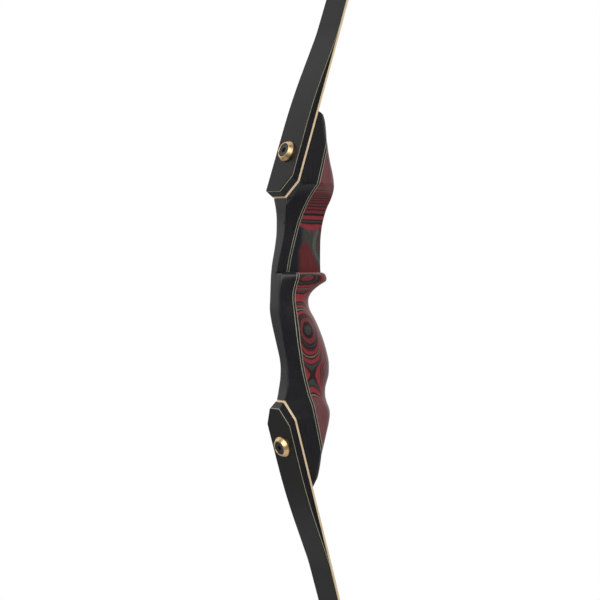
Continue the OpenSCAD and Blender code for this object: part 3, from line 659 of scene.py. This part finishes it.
WASHER_R, RIM_R, WASHER_H, WASHER_WALL, WASHER_FLOOR, WASHER_BORE_R = 12.7, 9.7, 6.5, 2, 2.8, 4.6
RECESS_R, RIM_FILLET, WALL_FILLET, SMALL_BEVEL = 8.3, 0.6, 0.4, 0.3
BOLT_R, BOLT_GRIP, HEAD_R, HEAD_T, HEAD_FILLET = 4, 16, 8, 3, 0.6
HEX_AF, HEX_DEPTH, HEX_BEVEL, HEX_RIM_R, DRILL_R, DRILL_DEPTH = 6, 2.2, 0.25, 3.9, 1.2, 0.5
THREAD_TOP, THREAD_PITCH, THREAD_DEPTH, THREAD_ROWS, THREAD_END_R = 4.0, 1.25, 0.6, 10, 3.1
ROUND_SEGMENTS = 96


def lathe(name, profile):
    """A closed ring turned about the limb's x axis from (radius, height) pairs, in millimetres."""
    rings = []
    for i in range(ROUND_SEGMENTS):
        a = 2 * pi * i / ROUND_SEGMENTS
        rings.append([(h * MM, r * cos(a) * MM, r * sin(a) * MM) for r, h in profile])
    n = len(profile)
    faces = []
    for i in range(ROUND_SEGMENTS):
        a, b = i * n, (i + 1) % ROUND_SEGMENTS * n
        faces += [(a + j, a + (j + 1) % n, b + (j + 1) % n, b + j) for j in range(n)]
    mesh = bpy.data.meshes.new(name)
    mesh.from_pydata([p for r in rings for p in r], [], faces)
    finish_mesh(mesh)
    return mesh


def corner_arc(cx, cy, r, a0, a1, steps=5):
    """Points of an arc between two angles in degrees."""
    angles = [radians(a0 + (a1 - a0) * i / steps) for i in range(steps + 1)]
    return [(cx + r * cos(a), cy + r * sin(a)) for a in angles]


def mount(name, mesh, side, height, slot_name, body, node):
    """Puts a washer's or bolt's mesh at the bolt's place, at a height over the pad."""
    mesh.transform(limb_matrix(side) @ Matrix.Translation(Vector((height, 0, BOLT_S)) * MM))
    piece = new_object(name, mesh, slot_name)
    limb = name.split("_")[0]
    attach(piece, limb + body)
    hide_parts(limb + node)
    return piece


def build_washer(name, side):
    """A cup washer: its foot, wall, bevel and rim, then the recess for the bolt's head."""
    top = WASHER_H - RIM_FILLET
    profile = [(WASHER_BORE_R, 0), (WASHER_R - 0.2, 0), (WASHER_R, 0.2)]
    profile += corner_arc(WASHER_R - WALL_FILLET, WASHER_WALL - 0.15, WALL_FILLET, 0, 34, 3)
    profile += corner_arc(RIM_R - 0.34, top, RIM_FILLET, 34, 90, 5)
    profile += corner_arc(RECESS_R + RIM_FILLET, top, RIM_FILLET, 90, 180, 6)
    profile += [(RECESS_R, WASHER_FLOOR + SMALL_BEVEL), (RECESS_R - SMALL_BEVEL, WASHER_FLOOR),
                (WASHER_BORE_R + SMALL_BEVEL, WASHER_FLOOR), (WASHER_BORE_R, WASHER_FLOOR - SMALL_BEVEL)]
    return mount(name, lathe(name, profile), side, LIMB_T, "brass", "_washer", "_bolt_washer")


def circle(r, h):
    """Points of a circle about the limb's x axis; r is a number or gives the radius at each angle."""
    pts = []
    for i in range(ROUND_SEGMENTS):
        a = 2 * pi * i / ROUND_SEGMENTS
        reach = r(a) if callable(r) else r
        pts.append((h, reach * cos(a), reach * sin(a)))
    return pts


def hexagon(share, h):
    return circle(lambda a: HEX_AF / 2 * share / cos((a + pi / 6) % (pi / 3) - pi / 6), h)


def thread(side):
    """Circles down the shank, with a wave that climbs once for each turn and fades at both ends."""
    end = -BOLT_GRIP
    count = int((THREAD_TOP - end) / THREAD_PITCH * THREAD_ROWS)
    rows = []
    for k in range(1, count):
        h = THREAD_TOP - (THREAD_TOP - end) * k / count
        fade = min(k / THREAD_ROWS, 1, (count - k) / THREAD_ROWS + 0.3)

        def radius(a):
            phase = (h / THREAD_PITCH + side * a / (2 * pi)) % 1
            return BOLT_R - THREAD_DEPTH * (0.5 + 0.5 * cos(2 * pi * phase)) * fade
        rows.append(circle(radius, h))
    return rows + [circle(THREAD_END_R, end)]


def build_bolt(name, side):
    """The bolt: a round head with a hex socket and a threaded shank, as one closed mesh."""
    base = WASHER_FLOOR + LIMB_T
    top = base + HEAD_T
    # The socket, from its floor up, over the head's top, down its side and along the shank
    rows = [circle(DRILL_R, top - HEX_DEPTH - DRILL_DEPTH), hexagon(0.9, top - HEX_DEPTH),
            hexagon(1.0, top - HEX_DEPTH), hexagon(1.0, top - HEX_BEVEL), circle(HEX_RIM_R, top - 0.02)]
    rows += [circle(r, h) for r, h in corner_arc(HEAD_R - HEAD_FILLET, top - HEAD_FILLET, HEAD_FILLET, 90, 0)]
    rows += [circle(HEAD_R, base + SMALL_BEVEL), circle(HEAD_R - SMALL_BEVEL, base),
             circle(BOLT_R + 0.25, base), circle(BOLT_R, base - SMALL_BEVEL), circle(BOLT_R, THREAD_TOP)]
    rows += thread(side)
    return mount(name, loft(name, rows), side, 0, "black_steel", "_bolt", "_limb_bolt")


washers = [build_washer("upper_cup_washer", 1), build_washer("lower_cup_washer", -1)]
bolts = [build_bolt("upper_socket_bolt", 1), build_bolt("lower_socket_bolt", -1)]

# Materials


class Nodes:
    """A node tree, with short calls to add nodes and join them."""

    def __init__(self, tree):
        self.tree = tree

    def node(self, kind, **values):
        made = self.tree.nodes.new("ShaderNode" + kind)
        for key, value in values.items():
            setattr(made, key, value)
        return made

    def join(self, out, into):
        self.tree.links.new(out, into)

    def feed(self, socket, value):
        """Gives a socket a number or a colour, or joins an output to it."""
        if isinstance(value, (int, float)):
            socket.default_value = value
        elif isinstance(value, tuple):
            socket.default_value = (*value, 1)
        else:
            self.join(value, socket)

    def math(self, kind, a, b=0.5):
        n = self.node("Math", operation=kind)
        self.feed(n.inputs[0], a)
        self.feed(n.inputs[1], b)
        return n.outputs["Value"]

    def ramp(self, fac, stops):
        n = self.node("ValToRGB")
        elements = n.color_ramp.elements
        for i, (at, colour) in enumerate(stops):
            e = elements[i] if i < 2 else elements.new(at)
            e.position = at
            e.color = (*colour, 1)
        self.join(fac, n.inputs["Fac"])
        return n.outputs["Color"]

    def map_range(self, value, a, b, c, d, kind="LINEAR"):
        n = self.node("MapRange", interpolation_type=kind)
        self.join(value, n.inputs["Value"])
        for key, v in (("From Min", a), ("From Max", b), ("To Min", c), ("To Max", d)):
            n.inputs[key].default_value = v
        return n.outputs["Result"]

    def soft(self, value, a, b):
        """0 at a to 1 at b, eased at both ends."""
        limits = (a, b, 0, 1) if a < b else (b, a, 1, 0)
        return self.map_range(value, *limits, "SMOOTHSTEP")

    def mix(self, fac, a, b, blend="MIX"):
        n = self.node("Mix", data_type="RGBA", blend_type=blend)
        for i, value in ((0, fac), (6, a), (7, b)):
            self.feed(n.inputs[i], value)
        return n.outputs[2]


class Graph(Nodes):
    """A new material's nodes around its shader."""

    def __init__(self, name):
        self.material = bpy.data.materials.new(name)
        self.material.use_nodes = True
        super().__init__(self.material.node_tree)
        self.shader = self.tree.nodes["Principled BSDF"]

    def set(self, **values):
        for key, value in values.items():
            self.shader.inputs[key.replace("_", " ")].default_value = value

    def drive(self, **outputs):
        """Joins outputs to the shader's sockets."""
        for key, out in outputs.items():
            self.join(out, self.shader.inputs[key.replace("_", " ")])

    def place(self, scale=(1, 1, 1)):
        """Object coordinates in millimetres, scaled on each axis."""
        coords = self.node("TexCoord")
        mapping = self.node("Mapping")
        mapping.inputs["Scale"].default_value = [1000 * s for s in scale]
        self.join(coords.outputs["Object"], mapping.inputs["Vector"])
        return mapping.outputs["Vector"]

    def noise(self, scale, detail=3, rough=0.5):
        """Noise whose scale on each axis is per millimetre."""
        n = self.node("TexNoise")
        for key, value in (("Scale", 1), ("Detail", detail), ("Roughness", rough)):
            n.inputs[key].default_value = value
        self.join(self.place(scale), n.inputs["Vector"])
        return n.outputs["Fac"]

    def bump(self, height, strength, distance):
        n = self.node("Bump")
        n.inputs["Strength"].default_value = strength
        n.inputs["Distance"].default_value = distance * MM
        self.join(height, n.inputs["Height"])
        self.drive(Normal=n.outputs["Normal"])


# The range in which most values of a noise lie
NOISE_SPAN = (0.3, 0.7)


def grained(name, scale, detail, stops, relief, **values):
    """A material coloured by a grain, which is also its relief: strength and height in millimetres."""
    g = Graph(name)
    grain = g.noise(scale, detail, 0.6)
    g.drive(Base_Color=g.ramp(grain, stops))
    g.bump(grain, *relief)
    g.set(**values)
    return g


def black_wood(name, gloss):
    g = grained(name, (0.6, 2.2, 0.05), 4, [(0.3, (0.011, 0.011, 0.0125)), (0.75, (0.020, 0.0195, 0.0215))],
                (0.12, 0.05), Specular_IOR_Level=gloss)
    g.drive(Roughness=g.map_range(g.noise((0.05, 0.05, 0.05)), *NOISE_SPAN, 0.2, 0.3))
    return g.material


# The grip block's dyed veneers, and the pink where they blend on the brow and the lower end, with a painted
# sheen added
DARK, DEEP, RED = (0.024, 0.015, 0.016), (0.08, 0.020, 0.022), (0.165, 0.030, 0.036)
BRIGHT = (0.262, 0.033, 0.040)
GREEN, PALE, PINK_BLEND_AND_SHEEN = (0.048, 0.052, 0.046), (0.17, 0.165, 0.13), (0.165, 0.068, 0.072)
# Veneers as (place in millimetres at the lower side, colour), out from about the middle plane; between the
# two lists the same veneers repeat at a pitch
BANDS = [
    (-0.5, GREEN), (-0.35, BRIGHT), (0.12, DARK), (0.4, GREEN), (0.72, DARK), (1.0, BRIGHT), (1.9, DARK),
    (2.65, RED), (3.6, DEEP)]
OUTER_BANDS = [
    (14.0, BRIGHT), (14.9, DARK), (15.2, GREEN), (15.8, DARK), (16.0, BRIGHT), (16.9, DARK), (17.2, PALE),
    (17.5, DARK), (17.8, BRIGHT), (18.5, DEEP), (19.0, DARK), (19.3, GREEN), (19.6, DARK), (19.9, RED),
    (20.8, DARK), (21.4, GREEN)]
BANDS_SPAN, OUTER_SPAN, FINE_FROM, FINE_PITCH, OUTER_FROM = (-0.5, 4.5), (13.9, 22), 3.6, 1.45, 14.0
# The veneers aren't quite flat: their shift as (height, shift, its slope and its bend from front to rear)
LEVEL_SHIFT = [
    (-230, -0.90, 0.00, 0.00), (-130, -0.90, 0.00, 0.00), (-118, -0.70, -0.30, -0.30),
    (-107, -0.58, -0.55, -0.62), (-96, -1.19, -0.70, -0.73), (-85, -1.31, -0.81, -0.61),
    (-76, -0.82, -0.67, -0.70), (-68, 0.06, -0.40, -0.48), (-61, 0.15, -0.10, -0.48),
    (-52, 0.01, 0.02, -0.36), (-44, -0.21, 0.12, -0.24), (-35, -0.40, 0.38, -0.33),
    (-27, -0.19, 0.46, -0.49), (-20, 0.21, 0.36, -0.44), (-12, -0.04, 0.14, -0.20),
    (-6, -0.26, -0.00, 0.02), (0, -0.49, -0.17, 0.02), (6, -0.70, -0.23, 0.08), (12, -0.31, -0.07, 0.03),
    (18, 0.44, 0.34, 0.00), (24, 0.27, 0.54, -0.12), (29, -0.56, 0.58, -0.26), (33, -0.96, 0.55, -0.41),
    (37, -0.90, 0.40, -0.50), (37.6, -0.15, -0.21, -0.07), (94, -0.15, -0.21, -0.07),
    (100, 0.00, 0.00, 0.00), (140, 0.00, 0.00, 0.00), (150, -0.90, 0.00, 0.00), (230, -0.90, 0.00, 0.00)]
# The span of values that the ramp's colours stand for, and the x range with its values for slope and bend
SHIFT_SPAN, SHIFT_X = 4, (-16, 32, -2.4, 2.4)
# How far the plane about which the stack is mirrored lies off the middle plane
STACK_OFF = 0.5


def band_stops(bands, low, high, blur=0.06):
    """Ramp stops for the bands over a span, with a soft border between neighbours."""
    stops = [((bands[0][0] - low) / (high - low), bands[0][1])]
    for (_, before), (at, colour) in zip(bands[:-1], bands[1:]):
        stops.append(((at - blur - low) / (high - low), before))
        stops.append(((at + blur - low) / (high - low), colour))
    return stops


def veneer_level(g, x, y, z):
    """Depth of a point in the stack of veneers, from the middle plane, in millimetres."""
    low, high = LEVEL_SHIFT[0][0], LEVEL_SHIFT[-1][0]
    stops = [((at - low) / (high - low), tuple(v / SHIFT_SPAN + 0.5 for v in values))
             for at, *values in LEVEL_SHIFT]
    parts = g.node("SeparateColor")
    g.join(g.ramp(g.map_range(z, low, high, 0, 1), stops), parts.inputs[0])
    shift, slope, bend = [g.math("MULTIPLY", g.math("SUBTRACT", c, 0.5), SHIFT_SPAN) for c in parts.outputs]
    u = g.map_range(x, *SHIFT_X)
    shift = g.math("ADD", shift, g.math("MULTIPLY", u, g.math("ADD", slope, g.math("MULTIPLY", bend, u))))
    wave = g.map_range(g.noise((0.03, 0.03, 0.02), 2), *NOISE_SPAN, -0.06, 0.06)
    fuzz = g.map_range(g.noise((1.2, 1.2, 0.12), 2), *NOISE_SPAN, -0.05, 0.05)
    depth = g.math("SUBTRACT", g.math("ABSOLUTE", g.math("ADD", y, STACK_OFF)), STACK_OFF)
    return g.math("ADD", depth, g.math("ADD", shift, g.math("ADD", wave, fuzz)))


# On the window's face: the red wedge's top, its rear and front edges as (slope, start) and its reach, then
# the painted highlight's middle height, its curve and its place at that height
CUT_RED_Z, CUT_RED_REAR, CUT_RED_FRONT, CUT_RED_REACH = 74.4, (-0.59, -0.6), (0.85, 0.9), 9.5
PAINTED_HIGHLIGHT_Z, PAINTED_HIGHLIGHT_CURVE, PAINTED_HIGHLIGHT_X = 70.5, 0.021, -11.8
# The window face's colours: painted shade at the front, a painted highlight, the red wedge and the red veneer
# at the rear edge
CUT_PAINTED_SHADE, CUT_PAINTED_HIGHLIGHT = (0.010, 0.013, 0.019), (0.10, 0.092, 0.082)
CUT_RED, CUT_REAR = (0.125, 0.022, 0.022), (0.10, 0.03, 0.035)


def window_colour(g, x, z, colour):
    """The veneer under the sight window: a red wedge in grey, where the cut just reaches the next veneer,
    with painted shade at the front and a painted highlight towards the rear.
    """
    drop = g.math("SUBTRACT", CUT_RED_Z, z)
    rear = g.math("ADD", g.math("MULTIPLY", drop, CUT_RED_REAR[0]), CUT_RED_REAR[1])
    front = g.math("ADD", g.math("MULTIPLY", drop, CUT_RED_FRONT[0]), CUT_RED_FRONT[1])
    front = g.math("MINIMUM", front, CUT_RED_REACH)
    red = g.math("MULTIPLY", g.soft(g.math("SUBTRACT", x, rear), -0.3, 0.9),
                 g.soft(g.math("SUBTRACT", front, x), -6, 4))
    red = g.math("MULTIPLY", red, g.soft(drop, -3, 3))
    # A painted highlight: a pale band, curved in height, where the face rolls off towards the rear edge
    curve = g.math("MULTIPLY", g.math("POWER", g.math("SUBTRACT", z, PAINTED_HIGHLIGHT_Z), 2), PAINTED_HIGHLIGHT_CURVE)
    painted_highlight = g.soft(g.math("ABSOLUTE", g.math("ADD", x, g.math("ADD", curve, -PAINTED_HIGHLIGHT_X))), 4.0, 0.5)
    # Painted shade: the window's face darkens to near-black towards the front
    colour = g.mix(g.soft(x, 2, 11), colour, CUT_PAINTED_SHADE)
    colour = g.mix(painted_highlight, colour, CUT_PAINTED_HIGHLIGHT)
    colour = g.mix(red, colour, CUT_RED)
    return g.mix(g.math("MULTIPLY", g.soft(x, -17.5, -20), g.soft(z, 62, 68)), colour, CUT_REAR)


def brow_blend_and_sheen(g, x, z):
    """1 on the upper brow and the lower end, where the cut veneers blend into one pink tone with a painted
    sheen.
    """
    slant = g.math("MULTIPLY", g.math("ADD", g.math("MAXIMUM", x, -25), 5.3), 0.66)
    return g.math("MAXIMUM", g.soft(g.math("SUBTRACT", z, slant), 139, 148), g.soft(z, -108, -120))


def red_laminate():
    g = Graph("red_black_laminate")
    split = g.node("SeparateXYZ")
    g.join(g.place(), split.inputs["Vector"])
    x, y, z = split.outputs
    level = veneer_level(g, x, y, z)
    inner = g.ramp(g.map_range(level, *BANDS_SPAN, 0, 1), band_stops(BANDS, *BANDS_SPAN))
    outer = g.ramp(g.map_range(level, *OUTER_SPAN, 0, 1), band_stops(OUTER_BANDS, *OUTER_SPAN))
    phase = g.math("FRACT", g.math("DIVIDE", g.math("SUBTRACT", level, FINE_FROM), FINE_PITCH))
    fine = g.ramp(phase, [(0.0, DEEP), (0.38, DARK), (0.46, RED), (0.92, RED), (0.98, DEEP)])
    colour = g.mix(g.math("GREATER_THAN", level, FINE_FROM), inner, fine)
    colour = g.mix(g.math("GREATER_THAN", level, OUTER_FROM), colour, outer)
    # Brow and lower end: the veneers' blended pink, lightened with a painted sheen
    colour = g.mix(g.math("MULTIPLY", brow_blend_and_sheen(g, x, z), 0.85), colour, PINK_BLEND_AND_SHEEN)
    cut_face = g.math("MULTIPLY", g.soft(g.math("ABSOLUTE", g.math("SUBTRACT", y, WINDOW_Y)), 0.7, 0.4),
                      g.math("MULTIPLY", g.soft(z, SHELF_Z, SHELF_Z + 0.1), g.soft(z, 95, 88)))
    colour = g.mix(cut_face, colour, window_colour(g, x, z, colour))
    grain = g.noise((0.9, 3.0, 0.07), 4, 0.65)
    shade = g.ramp(grain, [(0.3, (0.70, 0.68, 0.68)), (0.7, (1.18, 1.15, 1.15))])
    g.drive(Base_Color=g.mix(1, colour, shade, "MULTIPLY"))
    g.bump(grain, 0.1, 0.04)
    g.set(Roughness=0.3, Specular_IOR_Level=0.5)
    return g.material


def maple(name, low, high, rough, coat):
    g = Graph(name)
    grain, rays = g.noise((0.8, 1.3, 0.03), 5, 0.6), g.noise((1.5, 2.5, 0.4), 2)
    tone = g.math("ADD", g.math("MULTIPLY", grain, 0.75), g.math("MULTIPLY", rays, 0.25))
    g.drive(Base_Color=g.ramp(tone, [(0.32, low), (0.68, high)]))
    g.bump(tone, 0.1, 0.04)
    g.set(Roughness=rough, Coat_Weight=coat, Coat_Roughness=0.1)
    return g.material


def brass():
    g = Graph("polished_brass")
    wear = g.noise((0.2, 0.2, 0.2), 2)
    g.drive(Base_Color=g.ramp(wear, [(0.3, (0.80, 0.53, 0.26)), (0.7, (0.90, 0.65, 0.36))]),
            Roughness=g.map_range(wear, *NOISE_SPAN, 0.35, 0.41))
    g.set(Metallic=1.0)
    return g.material


def black_steel():
    g = Graph("black_oxide_steel")
    wear = g.noise((0.6, 0.6, 0.6), 4, 0.6)
    g.drive(Base_Color=g.ramp(wear, [(0.3, (0.03, 0.03, 0.03)), (0.75, (0.07, 0.07, 0.068))]),
            Roughness=g.map_range(wear, *NOISE_SPAN, 0.28, 0.42))
    g.bump(wear, 0.1, 0.03)
    g.set(Metallic=0.7)
    return g.material


def dress(obj, material):
    obj.data.materials.clear()
    obj.data.materials.append(material)


def dress_node(obj, material):
    """Gives a CAD object a material in the slots it has."""
    if not obj.material_slots:
        obj.data.materials.append(material)
    for held in obj.material_slots:
        held.material = material


MATERIALS = {
    "black_wood": black_wood("black_lacquered_wood", 0.4),
    "pale_veneer": grained(
        "pale_veneer", (1.2, 1.2, 0.06), 4, [(0.3, (0.24, 0.23, 0.16)), (0.7, (0.40, 0.38, 0.28))],
        (0.1, 0.05), Roughness=0.35, Specular_IOR_Level=0.4).material,
    "red_black_laminate": red_laminate(),
    "brass": brass(),
    "black_steel": black_steel(),
    "black_glass": grained(
        "black_limb_glass", (0.5, 1.6, 0.02), 3,
        [(0.3, (0.0065, 0.0065, 0.006)), (0.7, (0.0125, 0.012, 0.011))],
        (0.06, 0.03), Roughness=0.3, Specular_IOR_Level=0.2).material,
    "clear_glass": maple("glass_over_maple", (0.62, 0.45, 0.25), (0.84, 0.68, 0.44), 0.3, 1.0),
    "maple_core": maple("maple_core", (0.60, 0.44, 0.25), (0.80, 0.64, 0.42), 0.5, 0.3),
    "tip_overlay": grained(
        "black_tip_overlay", (0.8, 1.5, 0.1), 3, [(0.3, (0.007, 0.007, 0.007)), (0.7, (0.02, 0.018, 0.017))],
        (0.1, 0.04), Roughness=0.3, Specular_IOR_Level=0.4).material}

for obj in riser + washers + bolts + [p for limb in limbs.values() for group in limb.values() for p in group]:
    dress(obj, MATERIALS[obj["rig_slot"]])
# The wedges have the riser's black wood with less gloss
wedge_wood = black_wood("black_wedge_wood", 0.2)
for limb in limbs.values():
    dress(limb["wedge"][0], wedge_wood)
for side in ("upper", "lower"):
    for node in ("_limb_insert", "_locating_pins"):
        dress_node(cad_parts[side + node], MATERIALS["brass"])

# Floor, world and lamps, in metres

FLOOR_Z, FLOOR_R, FLOOR_GLOW = -0.7062, 0.75, 0.35


def add_floor():
    bm = bmesh.new()
    bmesh.ops.create_circle(bm, cap_ends=True, segments=ROUND_SEGMENTS, radius=FLOOR_R)
    mesh = bpy.data.meshes.new("floor")
    bm.to_mesh(mesh)
    bm.free()
    obj = bpy.data.objects.new("floor", mesh)
    obj.location = (0, 0, FLOOR_Z)
    bpy.context.collection.objects.link(obj)
    g = Graph("floor")
    g.set(Base_Color=(0.82, 0.82, 0.82, 1), Roughness=0.9, Specular_IOR_Level=0.1,
          Emission_Color=(1, 1, 1, 1))
    light = g.node("LightPath")
    g.drive(Emission_Strength=g.math("MULTIPLY", light.outputs["Is Camera Ray"], FLOOR_GLOW))
    obj.data.materials.append(g.material)


PLAIN_STRENGTH = 0.45  # of the world's light on the bow


def add_world():
    """A plain world for the bow's light; what is seen directly, mirrored or through glass is a studio."""
    world = bpy.data.worlds.new("world")
    bpy.context.scene.world = world
    world.use_nodes = True
    world.node_tree.nodes.clear()
    w = Nodes(world.node_tree)
    way = w.node("TexCoord").outputs["Generated"]
    split, dot = w.node("SeparateXYZ"), w.node("VectorMath", operation="DOT_PRODUCT")
    dot.inputs[1].default_value = (-sin(CAM_AZIMUTH), -cos(CAM_AZIMUTH), 0.1)
    w.join(way, dot.inputs[0])
    w.join(way, split.inputs[0])
    # White behind the bow as the camera looks, dim on the camera's side and below
    behind = w.map_range(dot.outputs["Value"], -0.2, 0.35, 0.12, 1, "SMOOTHSTEP")
    above = w.map_range(split.outputs["Z"], -0.5, 0.1, 0.3, 1)
    path = w.node("LightPath").outputs
    seen = path["Is Camera Ray"]
    plain, shown = w.node("Background"), w.node("Background")
    for background in (plain, shown):
        background.inputs["Color"].default_value = (1, 1, 1, 1)
    plain.inputs["Strength"].default_value = PLAIN_STRENGTH
    w.join(w.math("MAXIMUM", w.math("MULTIPLY", behind, above), seen), shown.inputs["Strength"])
    for other in ("Is Glossy Ray", "Is Transmission Ray"):
        seen = w.math("MAXIMUM", seen, path[other])
    mix, out = w.node("MixShader"), w.node("OutputWorld")
    for value, socket in zip((seen, plain.outputs[0], shown.outputs[0]), mix.inputs):
        w.join(value, socket)
    w.join(mix.outputs[0], out.inputs["Surface"])


def add_lamp(name, place, size, power, mirrored):
    """A round lamp that looks at the frame's origin, in metres and watts."""
    data = bpy.data.lights.new(name, "AREA")
    data.shape, data.size, data.energy = "DISK", size, power
    lamp = bpy.data.objects.new(name, data)
    lamp.location = place
    lamp.rotation_euler = (-Vector(place)).to_track_quat("-Z", "Y").to_euler()
    lamp.visible_glossy = mirrored
    bpy.context.collection.objects.link(lamp)


add_floor()
add_world()
add_lamp("key", (1.75, 1.4, 1.1), 2.6, 44, True)
add_lamp("fill", (-1.1, 2.3, 2.2), 3, 22, False)

bpy.context.scene.view_settings.view_transform = "Standard"
